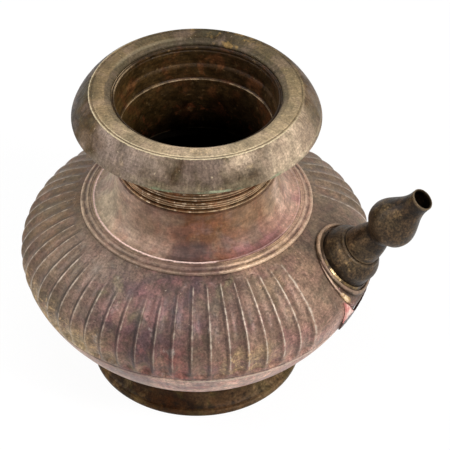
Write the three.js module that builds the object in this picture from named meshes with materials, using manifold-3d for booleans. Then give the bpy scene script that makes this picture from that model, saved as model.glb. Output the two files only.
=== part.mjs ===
// Spouted holy water pot: a fluted copper body with a collared mouth, a ring foot and a bulbous spout.
// Millimetres, +Z up, the spout towards +X. Heights are measured from the plane that the foot stands on.
import * as THREE from 'three';
import { mergeVertices } from 'three/addons/utils/BufferGeometryUtils.js';
import Module from 'manifold-3d';

// Body: widest on the flute ridges at the equator, an elliptic crown above it and a fuller bowl below it
const bodyRadius = 88.1;
const equatorHeight = 68.9;
const crownCentreRadius = 13.9;
const crownRise = 36.1;
const bowlDepth = 72.9;
const bowlFullness = 1.61;
const bellySeamDrop = 13.8;
const bodyWall = 2.0;
const bowlWall = 2.0;
const seamLapHeight = 3.2;
const seamLapWall = 1.5;

// Flutes: concave, with narrow ridges between them, left out in a smooth field round the spout
const fluteCount = 60;
const fluteDepth = 1.0;
const fluteRidge = 1.6;
const flutesLeftOut = 9;
const fluteTopFade = 10;
const fluteEndFade = 5;
const fluteEndMargin = 1.4;

// Shoulder and its band
const bandWidth = 6.1;
const bandStepWidth = 3.3;
const bandInnerRise = 2.5;
const bandOuterRise = 1.5;
const shoulderFootRadius = 51.3;
const shoulderFootRise = 2.3;
const shoulderTopRadius = 39.5;
const shoulderHeight = 20.0;
const shoulderWall = 2.0;

// Neck: a sleeve that steps inwards twice below the mouth, with two wire rings round it
const neckRadius = 37.5;
const neckWall = 1.9;
const neckTailLength = 6;
const neckPlainHeight = 14;
const neckFlareHeight = 9;
const neckHeadRadius = 41.0;
const neckHeadHeight = 18;
const neckMouthWall = 1.8;
const neckStepWidth = 0.8;
const upperStepDepth = 10;
const lowerStepDepth = 18;
const ringWire = 1.5;
const upperRingRise = 5.2;

// Rim collar
const mouthRadius = 41.2;
const lipOverhang = 1.6;
const collarCrownRadius = 51.6;
const collarRadius = 60.1;
const collarDrop = 13.2;
const collarFullness = 1.28;
const collarEdge = 0.8;
const collarWall = 2.6;
const collarTopThickness = 2.4;
const hubDepth = 12;
const lineGroove = 0.35;

// Foot
const footRadius = 54.2;
const footTopRadius = 48.6;
const footEdge = 2.6;
const footWall = 2.2;
const floorRadius = 36;
const floorDrop = 3.5;

// Spout: its axis leaves the crown this far over the equator and rises outwards
const spoutRootRise = 17.2;
const spoutTilt = THREE.MathUtils.degToRad(53.8);
const spoutHoleRadius = 7;
const plateRadius = 20.3;
const plateDrop = 3;
const plateFlat = 3.4;
const plateThickness = 1.0;
const bellFootRadius = 15.1;
const bellTopRadius = 11.6;
const bellHeight = 11.9;
const bellWall = 2.2;
const braze = 0.9;
const beadWire = 1.9;
const stemWaistRadius = 7.0;
const stemWaistReach = 13.3;
const stemFootRadius = 9.8;
const stemHeadRadius = 9.4;
const stemLength = 18.8;
const stemBore = 4.4;
const spigotLength = 4;
const spigotWall = 1.4;
const bulbFootRadius = 10.0;
const bulbRadius = 12.3;
const bulbRise = 5.6;
const nozzleLength = 28.6;
const tipRadius = 5.7;
const tipBore = 4.7;
const patchHalfWidth = 20;
const patchTopDrop = 11;
const patchThickness = 1.3;

// Fits and mesh steps
const gap = 0.3;
const roundSteps = 48;
const neckSteps = 48;
const fluteSteps = 3;
const spoutSteps = 28;
const skinSteps = 40;
const patchSteps = 7;

const wasm = await Module();
wasm.setup();

const point = (x, y) => new THREE.Vector2(x, y);
const steps = (count, at) => Array.from({ length: count + 1 }, (_, i) => at(i / count));
const smooth = (t) => THREE.MathUtils.smoothstep(t, 0, 1);

// Heights that follow from the sizes above
const crownWidth = bodyRadius - crownCentreRadius;
const crownHeightAt = (r) => equatorHeight
  + crownRise * Math.sqrt(1 - ((r - crownCentreRadius) / crownWidth) ** 2);
const bowlHeightAt = (r) => equatorHeight
  - bowlDepth * (1 - (r / bodyRadius) ** bowlFullness) ** (1 / bowlFullness);
const bowlRadiusAt = (z) => bodyRadius
  * (1 - ((equatorHeight - z) / bowlDepth) ** bowlFullness) ** (1 / bowlFullness);
const bandOuterRadius = shoulderFootRadius + bandWidth;
const seatHeight = crownHeightAt(bandOuterRadius);
const seamHeight = equatorHeight - bellySeamDrop;
const shoulderBottom = seatHeight + gap;
const shoulderTop = shoulderBottom + shoulderFootRise + shoulderHeight;
const neckTop = shoulderTop + neckPlainHeight + neckFlareHeight + neckHeadHeight;
const mouthHeight = neckTop + gap + collarTopThickness;

// The outer skin of the body on the flute ridges: the crown up to a radius, and the belly
function crownProfile(count, top = bandOuterRadius) {
  const end = Math.acos((top - crownCentreRadius) / crownWidth);
  return steps(count, (t) => point(
    crownCentreRadius + crownWidth * Math.cos(end * t),
    equatorHeight + crownRise * Math.sin(end * t),
  ));
}

function bellyProfile(bottom, count) {
  return steps(count, (t) => {
    const z = bottom + (equatorHeight - bottom) * (1 - (1 - t) ** 2);
    return point(bowlRadiusAt(Math.min(z, equatorHeight)), z);
  });
}

// A profile's copy, moved towards its left by a distance: inwards where the profile runs upwards
function inset(profile, distance) {
  return profile.map((p, i) => {
    const before = profile[Math.max(i - 1, 0)];
    const after = profile[Math.min(i + 1, profile.length - 1)];
    const along = after.clone().sub(before).normalize();
    return point(p.x - along.y * distance, p.y + along.x * distance);
  });
}

// A geometry with merged corners, whose faces point out
function outward(geometry) {
  const plain = new THREE.BufferGeometry();
  plain.setAttribute('position', geometry.getAttribute('position').clone());
  plain.setIndex(geometry.index);
  const merged = mergeVertices(plain, 1e-4);
  const at = merged.getAttribute('position');
  const index = merged.index.array;
  const corner = (k) => new THREE.Vector3().fromBufferAttribute(at, index[k]);
  const kept = [];
  let volume = 0;
  for (let k = 0; k < index.length; k += 3) {
    const [a, b, c] = [index[k], index[k + 1], index[k + 2]];
    if (a === b || b === c || c === a) continue;
    volume += corner(k).dot(corner(k + 1).cross(corner(k + 2)));
    kept.push(a, b, c);
  }
  if (volume < 0) kept.reverse();
  merged.setIndex(kept);
  return merged;
}

// A piece turned about the pot's axis from a closed profile
function turned(profile, count = roundSteps) {
  const lathe = new THREE.LatheGeometry([...profile, profile[0]], count);
  return outward(lathe.rotateX(Math.PI / 2));
}

// A ring-shaped piece from closed sections that follow each other round it
function swept(sections) {
  const size = sections[0].length;
  const index = [];
  sections.forEach((_, i) => {
    const next = (i + 1) % sections.length;
    for (let j = 0; j < size; j += 1) {
      const k = (j + 1) % size;
      const [a, b, c, d] = [i * size + j, next * size + j, next * size + k, i * size + k];
      index.push(a, b, c, a, c, d);
    }
  });
  const geometry = new THREE.BufferGeometry().setFromPoints(sections.flat());
  geometry.setIndex(index);
  return outward(geometry);
}

function solid(geometry) {
  const at = geometry.getAttribute('position').array;
  const mesh = new wasm.Mesh({
    numProp: 3,
    vertProperties: new Float32Array(at),
    triVerts: new Uint32Array(geometry.index.array),
  });
  return new wasm.Manifold(mesh);
}

function geometryOf(manifold) {
  const mesh = manifold.getMesh();
  const geometry = new THREE.BufferGeometry();
  geometry.setAttribute('position', new THREE.BufferAttribute(mesh.vertProperties, 3));
  geometry.setIndex(new THREE.BufferAttribute(mesh.triVerts, 1));
  return geometry;
}

// Depth of the flutes at an angle from the spout, as a share of the full depth
const flutePitch = (2 * Math.PI) / fluteCount;
const fieldHalfAngle = (flutesLeftOut / 2) * flutePitch;
const ridgeAngle = fluteRidge / bodyRadius;

function fluteShare(angle) {
  if (Math.abs(angle) <= fieldHalfAngle) return 0;
  const across = angle - flutePitch * Math.round(angle / flutePitch);
  return Math.max(0, 1 - (across / ((flutePitch - ridgeAngle) / 2)) ** 2);
}

// The flutes grow from the band downwards and end rounded above the seam
function fluteFade(z) {
  const fromTop = smooth((seatHeight - z) / fluteTopFade);
  const fromEnd = smooth((z - seamHeight - fluteEndMargin) / fluteEndFade);
  return fromTop * fromEnd;
}

function fluteAngles() {
  const free = fluteCount - flutesLeftOut;
  const fluted = Array.from({ length: free }, (_, i) => {
    const start = fieldHalfAngle + i * flutePitch + ridgeAngle / 2;
    return steps(fluteSteps, (t) => start + t * (flutePitch - ridgeAngle));
  });
  const field = steps(flutesLeftOut, (t) => 2 * Math.PI - fieldHalfAngle + t * 2 * fieldHalfAngle);
  return [...fluted.flat(), ...field];
}

// The body's lining, a wall inside the bottom of the flutes
const bodyLining = () => inset(
  [...bellyProfile(seamHeight, 3).slice(0, -1), ...crownProfile(6)],
  bodyWall + fluteDepth,
);

function upperBody() {
  const belly = bellyProfile(seamHeight, 4).slice(0, -1);
  const skin = [...belly, ...crownProfile(7)];
  const sections = fluteAngles().map((angle) => {
    const turn = angle > Math.PI ? angle - 2 * Math.PI : angle;
    const ring = skin.map((p) => {
      const r = p.x - fluteDepth * fluteShare(turn) * fluteFade(p.y);
      return new THREE.Vector3(r * Math.cos(angle), r * Math.sin(angle), p.y);
    });
    return [new THREE.Vector3(0, 0, skin[0].y), ...ring, new THREE.Vector3(0, 0, skin.at(-1).y)];
  });
  const mouth = shoulderFootRadius - shoulderWall;
  const inside = bodyLining().filter((p) => p.x > mouth + bodyWall);
  const top = inside.at(-1).y + 1;
  const hollow = [
    point(0, seamHeight - bowlWall),
    point(inside[0].x, seamHeight - bowlWall),
    ...inside,
    point(mouth, top),
    point(mouth, seatHeight + bowlWall),
    point(0, seatHeight + bowlWall),
  ];
  return geometryOf(solid(swept(sections)).subtract(solid(turned(hollow))).subtract(spoutHole()));
}

// The bowl's outer profile, from its flat floor up to the seam
const floorHeight = bowlHeightAt(footTopRadius - footWall) - floorDrop;

function bowlProfile() {
  const join = footTopRadius - footWall;
  const blend = steps(3, (t) => point(
    floorRadius + t * (join - floorRadius),
    floorHeight + floorDrop * t * t,
  ));
  const top = seamHeight - gap;
  const side = steps(5, (t) => {
    const z = bowlHeightAt(join) + (top - bowlHeightAt(join)) * t;
    return point(bowlRadiusAt(z), z);
  });
  return [...blend, ...side.slice(1)];
}

function lowerBowl() {
  const outer = bowlProfile();
  const lining = inset(outer, bowlWall);
  const lapOuter = bodyLining()[0].x - gap;
  const lapInner = lapOuter - seamLapWall;
  const rim = outer.at(-1).y;
  const inner = lining.filter((p) => p.y < rim - bowlWall && p.x < lapInner);
  const profile = [
    point(0, floorHeight),
    ...outer,
    point(lapOuter, rim),
    point(lapOuter, seamHeight + seamLapHeight),
    point(lapInner, seamHeight + seamLapHeight),
    point(lapInner, rim - bowlWall),
    ...inner.reverse(),
    point(0, floorHeight + bowlWall),
  ];
  return turned(profile);
}

function footRing() {
  const top = bowlHeightAt(footTopRadius) - gap;
  const outer = steps(5, (t) => point(
    footRadius + (footTopRadius - footRadius) * Math.sin((t * Math.PI) / 2),
    footEdge + (top - footEdge) * (1 - Math.cos((t * Math.PI) / 2)),
  ));
  const innerTop = point(footTopRadius - footWall, bowlHeightAt(footTopRadius - footWall) - gap);
  const innerFoot = footRadius - footWall;
  return turned([
    point(innerFoot, 0),
    point(footRadius, 0),
    ...outer,
    innerTop,
    point(innerTop.x, innerTop.y / 2),
    point(innerFoot, footEdge),
  ]);
}

// The shoulder hollows in from the band to the neck: a quarter ellipse
function shoulder() {
  const reach = shoulderFootRadius - shoulderTopRadius;
  const bottom = shoulderBottom + shoulderFootRise;
  const curve = steps(7, (t) => point(
    shoulderFootRadius - reach * Math.sin((t * Math.PI) / 2),
    bottom + shoulderHeight * (1 - Math.cos((t * Math.PI) / 2)),
  ));
  const bore = neckRadius + gap;
  const tail = shoulderTop - neckTailLength - gap;
  const lining = inset(curve, shoulderWall).filter((p) => p.y < tail - shoulderWall && p.x > bore);
  return turned([
    point(shoulderFootRadius - shoulderWall, shoulderBottom),
    point(shoulderFootRadius, shoulderBottom),
    ...curve,
    point(bore, shoulderTop),
    point(bore, tail),
    ...lining.reverse(),
  ]);
}

function shoulderBand() {
  const step = bandOuterRadius - bandStepWidth;
  const inner = shoulderFootRadius + gap;
  const base = seatHeight + gap;
  const soft = bandOuterRise / 3;
  return turned([
    point(inner, base),
    point(bandOuterRadius, base),
    point(bandOuterRadius, base + bandOuterRise - soft),
    point(bandOuterRadius - soft, base + bandOuterRise),
    point(step, base + bandOuterRise),
    point(step - soft, base + bandInnerRise),
    point(inner, base + bandInnerRise),
  ]);
}

// A half-round wire ring whose flat back faces the neck
function wireRing(inner, bottom) {
  const middle = bottom + ringWire / 2;
  const round = steps(5, (t) => point(
    inner + ringWire * 0.75 * Math.sin(t * Math.PI),
    middle - (ringWire / 2) * Math.cos(t * Math.PI),
  ));
  return turned(round, neckSteps);
}

function neckSleeve() {
  const bottom = shoulderTop - neckTailLength;
  const plainTop = shoulderTop + neckPlainHeight;
  const headBottom = plainTop + neckFlareHeight;
  const inner = neckRadius - neckWall;
  const headInner = neckHeadRadius - neckMouthWall;
  const upperStep = neckTop - upperStepDepth;
  const lowerStep = neckTop - lowerStepDepth;
  const midInner = headInner - neckStepWidth;
  const lowInner = midInner - neckStepWidth;
  return turned([
    point(inner, bottom),
    point(neckRadius, bottom),
    point(neckRadius, plainTop),
    point((neckRadius + neckHeadRadius) / 2, (plainTop + headBottom) / 2),
    point(neckHeadRadius, headBottom),
    point(neckHeadRadius, neckTop),
    point(headInner, neckTop),
    point(headInner - neckStepWidth / 2, upperStep),
    point(midInner, upperStep - neckStepWidth / 2),
    point(midInner - neckStepWidth / 2, lowerStep),
    point(lowInner, lowerStep - neckStepWidth / 2),
    point(inner, plainTop),
  ], neckSteps);
}

// The collar folds over the neck's head: lip, flat top, convex flange and an inner hub
function rimCollar() {
  const lip = mouthRadius - lipOverhang;
  const hub = neckHeadRadius + gap;
  const under = neckTop + gap;
  const top = mouthHeight;
  const edgeTop = top - collarDrop;
  const bulge = 2 / collarFullness;
  const flange = steps(6, (t) => point(
    collarCrownRadius + (collarRadius - collarCrownRadius) * Math.sin((t * Math.PI) / 2) ** bulge,
    edgeTop + (top - lineGroove - edgeTop) * Math.max(0, Math.cos((t * Math.PI) / 2)) ** bulge,
  ));
  const lining = inset([...flange].reverse(), collarWall).filter((p) => p.x > hub + collarWall);
  const hubBottom = under - hubDepth;
  return turned([
    point(lip, under),
    point(hub, under),
    point(hub, hubBottom),
    point(hub + collarWall, hubBottom),
    point(hub + collarWall, under - gap),
    ...lining.reverse(),
    point(collarRadius - collarWall, edgeTop - collarEdge),
    point(collarRadius - collarEdge, edgeTop - collarEdge),
    ...[...flange].reverse(),
    point(collarCrownRadius - 2 * lineGroove, top - lineGroove),
    point(collarCrownRadius - 3 * lineGroove, top),
    point(mouthRadius + lipOverhang, top),
    point(mouthRadius, top - lipOverhang / 4),
    point(lip + lipOverhang / 4, top - lipOverhang),
  ]);
}

// Spout frame: s runs along the axis from the root, r and the angle round it, with angle 0 facing down
const spoutAxis = new THREE.Vector3(Math.cos(spoutTilt), 0, Math.sin(spoutTilt));
const spoutDown = new THREE.Vector3(Math.sin(spoutTilt), 0, -Math.cos(spoutTilt));
const spoutSide = new THREE.Vector3(0, 1, 0);
const crownRadiusAt = (z) => crownCentreRadius
  + crownWidth * Math.sqrt(1 - ((z - equatorHeight) / crownRise) ** 2);
const spoutRootHeight = equatorHeight + spoutRootRise;
const spoutRoot = new THREE.Vector3(crownRadiusAt(spoutRootHeight), 0, spoutRootHeight);

function spoutPoint(s, r, angle) {
  return spoutRoot.clone()
    .addScaledVector(spoutAxis, s)
    .addScaledVector(spoutDown, r * Math.cos(angle))
    .addScaledVector(spoutSide, r * Math.sin(angle));
}

// Distance of a place outside the body's skin, less than zero inside it
const skinLine = [
  ...bellyProfile(bowlHeightAt(footTopRadius), skinSteps).slice(0, -1),
  ...crownProfile(2 * skinSteps, crownCentreRadius),
];

function aboveSkin(place) {
  const here = point(Math.hypot(place.x, place.y), place.z);
  let best = Infinity;
  let side = 1;
  for (let i = 1; i < skinLine.length; i += 1) {
    const along = skinLine[i].clone().sub(skinLine[i - 1]);
    const to = here.clone().sub(skinLine[i - 1]);
    const t = THREE.MathUtils.clamp(to.dot(along) / along.lengthSq(), 0, 1);
    const away = to.clone().addScaledVector(along, -t).length();
    if (away < best) {
      best = away;
      side = to.x * along.y - to.y * along.x > 0 ? 1 : -1;
    }
  }
  return best * side;
}

// The place at a height over the skin that lies r from the spout's axis, at an angle round it
function onSkin(r, angle, height) {
  let low = -bodyRadius / 2;
  let high = bodyRadius / 2;
  for (let i = 0; i < 40; i += 1) {
    const middle = (low + high) / 2;
    if (aboveSkin(spoutPoint(middle, r, angle)) < height) low = middle;
    else high = middle;
  }
  return spoutPoint(low, r, angle);
}

const roundSpout = (count, section) => swept(Array.from({ length: count }, (_, i) => (
  section((i / count) * 2 * Math.PI)
)));

function spoutHole() {
  const hole = new THREE.CylinderGeometry(spoutHoleRadius, spoutHoleRadius, bodyRadius / 2, spoutSteps);
  hole.applyQuaternion(new THREE.Quaternion().setFromUnitVectors(new THREE.Vector3(0, 1, 0), spoutAxis));
  hole.translate(spoutRoot.x, spoutRoot.y, spoutRoot.z);
  return solid(outward(hole));
}

// The plate is a disc on the skin, set a little below the spout's axis and flattened at its foot
const plateTop = gap + plateThickness;
const plateEdge = (angle) => plateDrop * Math.cos(angle)
  + Math.sqrt(plateRadius ** 2 - (plateDrop * Math.sin(angle)) ** 2)
  - plateFlat * Math.max(0, Math.cos(angle)) ** 8;

function spoutPlate() {
  const inner = spoutHoleRadius;
  return roundSpout(skinSteps, (angle) => {
    const edge = plateEdge(angle);
    const rows = steps(6, (t) => inner + (edge - inner) * t);
    const over = rows.map((r) => onSkin(r, angle, plateTop));
    const under = rows.map((r) => onSkin(r, angle, gap));
    return [...under, ...over.reverse()];
  });
}

const beadInner = bellFootRadius + braze + 2 * gap;

function spoutBead() {
  const seat = plateTop + gap;
  return roundSpout(skinSteps, (angle) => steps(5, (t) => {
    const across = beadInner + (beadWire / 2) * (1 - Math.cos(t * Math.PI));
    return onSkin(across, angle, seat + (beadWire / 2) * Math.sin(t * Math.PI));
  }));
}

function spoutBraze() {
  const seat = plateTop + gap;
  const inner = bellFootRadius + gap;
  return roundSpout(skinSteps, (angle) => [
    onSkin(inner, angle, seat),
    onSkin(inner + braze, angle, seat),
    onSkin(inner + braze, angle, seat + braze / 3),
    onSkin(inner, angle, seat + braze),
  ]);
}

function spoutBell() {
  const seat = plateTop + gap;
  const wallAt = (t) => bellFootRadius + (bellTopRadius - bellFootRadius) * t * t;
  const low = bellHeight * 0.35;
  const socket = spigotRadius + gap;
  return roundSpout(skinSteps, (angle) => [
    onSkin(bellFootRadius, angle, seat),
    ...steps(4, (t) => spoutPoint(low + (bellHeight - bellWall / 2 - low) * t, wallAt(t), angle)),
    spoutPoint(bellHeight, bellTopRadius - bellWall / 2, angle),
    spoutPoint(bellHeight, socket, angle),
    spoutPoint(bellHeight - bellWall, socket, angle),
    spoutPoint(low, bellFootRadius - bellWall, angle),
    onSkin(bellFootRadius - bellWall, angle, seat),
  ]);
}

const spigotRadius = stemBore + spigotWall;
const stemStart = bellHeight + gap;
const stemEnd = stemStart + stemLength;

function spoutStem() {
  const waist = stemStart + stemWaistReach;
  const taper = steps(4, (t) => point(
    stemStart + stemWaistReach * t,
    stemFootRadius + (stemWaistRadius - stemFootRadius) * t ** 1.8,
  ));
  const flare = steps(3, (t) => point(
    waist + (stemEnd - waist) * t,
    stemWaistRadius + (stemHeadRadius - stemWaistRadius) * t * t,
  ));
  const side = [...taper, ...flare.slice(1)];
  return roundSpout(spoutSteps, (angle) => [
    spoutPoint(stemStart - bellWall - gap, stemBore, angle),
    spoutPoint(stemStart - bellWall - gap, spigotRadius, angle),
    spoutPoint(stemStart, spigotRadius, angle),
    ...side.map((p) => spoutPoint(p.x, p.y, angle)),
    spoutPoint(stemEnd, spigotRadius, angle),
    spoutPoint(stemEnd + spigotLength, spigotRadius, angle),
    spoutPoint(stemEnd + spigotLength, stemBore, angle),
  ]);
}

function spoutNozzle() {
  const start = stemEnd + gap;
  const socket = spigotRadius + gap;
  const under = steps(3, (t) => point(
    start + bulbRise * (1 - Math.cos((t * Math.PI) / 2)),
    bulbFootRadius + (bulbRadius - bulbFootRadius) * Math.sin((t * Math.PI) / 2),
  ));
  const over = steps(7, (t) => point(
    start + bulbRise + (nozzleLength - bulbRise) * t,
    tipRadius + (bulbRadius - tipRadius) * (1 + Math.cos(Math.PI * Math.min(1, t * 1.12) ** 0.85)) * 0.5,
  )).slice(1);
  return roundSpout(spoutSteps, (angle) => [
    ...[...under, ...over].map((p) => spoutPoint(p.x, p.y, angle)),
    spoutPoint(start + nozzleLength, tipBore, angle),
    spoutPoint(start + spigotLength + 2 * gap, tipBore, angle),
    spoutPoint(start + spigotLength + gap, socket, angle),
    spoutPoint(start, socket, angle),
  ]);
}

// A thin sheet on the skin, which follows the plate's lower edge and rises beside it
function copperPatch() {
  const low = seamHeight + fluteEndMargin;
  const edge = steps(2 * skinSteps, (t) => (t - 0.5) * Math.PI)
    .map((angle) => onSkin(plateEdge(angle) + 2 * gap, angle, gap));
  const edgeHeight = (y) => {
    const next = edge.findIndex((place) => place.y >= y);
    const share = (y - edge[next - 1].y) / (edge[next].y - edge[next - 1].y);
    return edge[next - 1].z + (edge[next].z - edge[next - 1].z) * share;
  };
  const topAt = (y) => Math.min(spoutRootHeight - patchTopDrop, edgeHeight(y));
  const skinAt = (y, z, height) => {
    const out = z < equatorHeight ? bowlRadiusAt(z) + height : crownRadiusAt(z) + height;
    return new THREE.Vector3(Math.sqrt(out * out - y * y), y, z);
  };
  const columns = steps(24, (t) => patchHalfWidth * (2 * t - 1));
  const level = (y, t) => low + (topAt(y) - low) * t;
  const over = columns.map((y) => steps(patchSteps, (t) => skinAt(y, level(y, t), gap + patchThickness)));
  const under = columns.map((y) => steps(patchSteps, (t) => skinAt(y, level(y, t), gap)));
  return sheet(over, under);
}

// A closed sheet between two grids of places
function sheet(over, under) {
  const rows = over.length;
  const size = over[0].length;
  const index = [];
  const id = (layer, i, j) => layer * rows * size + i * size + j;
  const quad = (a, b, c, d) => index.push(a, b, c, a, c, d);
  for (let i = 1; i < rows; i += 1) {
    for (let j = 1; j < size; j += 1) {
      quad(id(0, i - 1, j - 1), id(0, i, j - 1), id(0, i, j), id(0, i - 1, j));
      quad(id(1, i - 1, j), id(1, i, j), id(1, i, j - 1), id(1, i - 1, j - 1));
    }
    quad(id(0, i, 0), id(0, i - 1, 0), id(1, i - 1, 0), id(1, i, 0));
    quad(id(0, i - 1, size - 1), id(0, i, size - 1), id(1, i, size - 1), id(1, i - 1, size - 1));
  }
  for (let j = 1; j < size; j += 1) {
    quad(id(0, 0, j - 1), id(0, 0, j), id(1, 0, j), id(1, 0, j - 1));
    quad(id(0, rows - 1, j), id(0, rows - 1, j - 1), id(1, rows - 1, j - 1), id(1, rows - 1, j));
  }
  const geometry = new THREE.BufferGeometry().setFromPoints([...over.flat(), ...under.flat()]);
  geometry.setIndex(index);
  return outward(geometry);
}

const finish = (color, roughness, metalness) => ({ color, roughness, metalness });
const agedBrass = finish(0x6a5f48, 0.5, 0.8);
const agedCopper = finish(0x7a5a4c, 0.5, 0.8);
const darkBrass = finish(0x4a4234, 0.55, 0.7);
const brightBrass = finish(0xc9a35a, 0.35, 0.9);
const bareCopper = finish(0xc07a66, 0.4, 0.9);

const pieces = [
  ['rim_collar', rimCollar(), agedBrass],
  ['neck_sleeve', neckSleeve(), darkBrass],
  ['neck_ring_upper', wireRing(neckRadius + gap, shoulderTop + upperRingRise), agedBrass],
  ['neck_ring_lower', wireRing(neckRadius + gap, shoulderTop + gap), agedBrass],
  ['shoulder', shoulder(), agedCopper],
  ['shoulder_band', shoulderBand(), agedBrass],
  ['upper_body', upperBody(), agedCopper],
  ['lower_bowl', lowerBowl(), agedCopper],
  ['foot_ring', footRing(), darkBrass],
  ['spout_plate', spoutPlate(), agedBrass],
  ['copper_patch', copperPatch(), bareCopper],
  ['spout_bead', spoutBead(), agedBrass],
  ['spout_braze', spoutBraze(), brightBrass],
  ['spout_bell', spoutBell(), darkBrass],
  ['spout_stem', spoutStem(), darkBrass],
  ['spout_nozzle', spoutNozzle(), darkBrass],
];

// The pot stands centred on the whole part's box, so its own axis lies behind the middle
const pot = new THREE.Group();
for (const [name, geometry, look] of pieces) {
  const piece = new THREE.Mesh(geometry, new THREE.MeshStandardMaterial(look));
  piece.name = name;
  pot.add(piece);
}
const middle = new THREE.Box3().setFromObject(pot).getCenter(new THREE.Vector3());
pot.position.x = -middle.x;

export default pot;
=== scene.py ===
from math import acos, ceil, cos, pi, radians, sin
import bpy
import numpy as np
from mathutils import Matrix, Vector


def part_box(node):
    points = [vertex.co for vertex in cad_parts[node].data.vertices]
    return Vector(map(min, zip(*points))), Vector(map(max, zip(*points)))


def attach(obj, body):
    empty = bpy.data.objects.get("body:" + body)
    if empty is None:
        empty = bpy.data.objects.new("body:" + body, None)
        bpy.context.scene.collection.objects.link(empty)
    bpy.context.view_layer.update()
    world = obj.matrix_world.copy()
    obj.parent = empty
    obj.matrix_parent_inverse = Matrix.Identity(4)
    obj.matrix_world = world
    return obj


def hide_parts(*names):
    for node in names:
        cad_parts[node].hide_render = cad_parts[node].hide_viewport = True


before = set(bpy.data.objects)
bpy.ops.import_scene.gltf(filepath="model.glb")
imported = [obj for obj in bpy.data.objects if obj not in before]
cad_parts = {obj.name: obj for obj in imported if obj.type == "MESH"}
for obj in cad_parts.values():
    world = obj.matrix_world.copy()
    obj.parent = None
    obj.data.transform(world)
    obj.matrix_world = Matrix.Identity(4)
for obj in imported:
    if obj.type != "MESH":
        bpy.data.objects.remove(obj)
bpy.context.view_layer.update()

# Sizes in millimetres over the plane that the foot stands on, as the record frame has them
MM = 0.001


def low_z(node):
    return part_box(node)[0][2] / MM


def high_z(node):
    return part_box(node)[1][2] / MM


def half_width(node):
    low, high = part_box(node)
    return (high[1] - low[1]) / 2 / MM


POT_X = (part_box("rim_collar")[0][0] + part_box("rim_collar")[1][0]) / 2 / MM
COLLAR_R = half_width("rim_collar")
MOUTH_Z = high_z("rim_collar")
HUB_LOW_Z = low_z("rim_collar")
COLLAR_CROWN_R = 51.6
COLLAR_DROP = 13.2
COLLAR_EDGE = 0.8
COLLAR_FULLNESS = 1.28
NECK_TOP_Z = high_z("neck_sleeve")
NECK_LOW_Z = low_z("neck_sleeve")
SHOULDER_TOP_Z = high_z("shoulder")
SHOULDER_R = half_width("shoulder")
BAND_LOW_Z = low_z("shoulder_band")
BAND_R = half_width("shoulder_band")
FOOT_R = half_width("foot_ring")
FOOT_TOP_Z = high_z("foot_ring")
SEAM_Z = low_z("upper_body")
SEAT_Z = high_z("upper_body")
BODY_R = 88.1
EQUATOR_Z = 68.9
CROWN_CENTRE_R = 13.9
CROWN_RISE = 36.1
BOWL_DEPTH = 72.9
BOWL_FULLNESS = 1.61
FLUTE_COUNT = 60
FLUTES_LEFT_OUT = 9
FLUTE_DEPTH = 1.8
FLUTE_RIDGE = 1.6
PITCH = 2 * pi / FLUTE_COUNT
FIELD = FLUTES_LEFT_OUT / 2 * PITCH
GAP = 0.3
TURN = 2 * pi

# Sections in a mesh round the pot, round the spout's wide pieces and round its narrow ones
ROUND_STEPS = 200
PLATE_STEPS = 144
SPOUT_STEPS = 112

# Camera: fitted to the mouth, collar, shoulder and foot circles of the photograph
CAMERA_ELEVATION = radians(40.62)
SPOUT_FROM_RIGHT = radians(21.47)
CAMERA_ROLL = radians(-0.66)
CAMERA_DISTANCE = 1044.7
AIM_Z = 80.0
AIM_RIGHT = 14.11
AIM_UP = 0.92
FRAME_PIXELS = 450
FOCAL_PIXELS = 2089.3
SENSOR = 36.0


def add_camera():
    turn = Matrix.Rotation(SPOUT_FROM_RIGHT, 3, "Z")
    right = turn @ Vector((1, 0, 0))
    up = turn @ Vector((0, sin(CAMERA_ELEVATION), cos(CAMERA_ELEVATION)))
    back = turn @ Vector((0, -cos(CAMERA_ELEVATION), sin(CAMERA_ELEVATION)))
    aim = Vector((POT_X, 0, AIM_Z))
    place = (aim + back * CAMERA_DISTANCE + right * AIM_RIGHT + up * AIM_UP) * MM
    x_axis = right * cos(CAMERA_ROLL) - up * sin(CAMERA_ROLL)
    y_axis = right * sin(CAMERA_ROLL) + up * cos(CAMERA_ROLL)
    camera = bpy.data.objects.new("camera", bpy.data.cameras.new("camera"))
    camera.data.sensor_width = SENSOR
    camera.data.lens = SENSOR * FOCAL_PIXELS / FRAME_PIXELS
    camera.data.clip_start = 0.05
    turned = Matrix((x_axis, y_axis, back)).transposed().to_4x4()
    camera.matrix_world = Matrix.Translation(place) @ turned
    bpy.context.collection.objects.link(camera)
    bpy.context.scene.camera = camera


# Mesh building

def smooth(t):
    t = np.clip(t, 0, 1)
    return t * t * (3 - 2 * t)


def new_object(name, points, faces, smooth_angle=40):
    mesh = bpy.data.meshes.new(name)
    mesh.from_pydata(np.asarray(points).tolist(), [], faces)
    mesh.validate()
    mesh.shade_smooth()
    mesh.set_sharp_from_angle(angle=radians(smooth_angle))
    piece = bpy.data.objects.new(name, mesh)
    bpy.context.collection.objects.link(piece)
    return piece


def mark(piece, name, values):
    """A value at each corner of the mesh, for its material to read."""
    layer = piece.data.attributes.get(name) or piece.data.attributes.new(name, "FLOAT", "POINT")
    layer.data.foreach_set("value", np.asarray(values, dtype=np.float32).ravel())


def each(values, count):
    """The same row of values at each of a piece's sections."""
    return np.repeat(np.reshape(values, (1, -1)), count, 0)


def ring_faces(rings, size):
    i, j = np.meshgrid(np.arange(rings), np.arange(size), indexing="ij")
    n, k = (i + 1) % rings, (j + 1) % size
    return np.stack((i * size + j, n * size + j, n * size + k, i * size + k), 2).reshape(-1, 4).tolist()


def swept(name, sections, smooth_angle=40):
    """A closed ring of closed sections: an array of rings, section points and x, y, z in millimetres."""
    rings, size, _ = sections.shape
    return new_object(name, sections.reshape(-1, 3) * MM, ring_faces(rings, size), smooth_angle)


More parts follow.
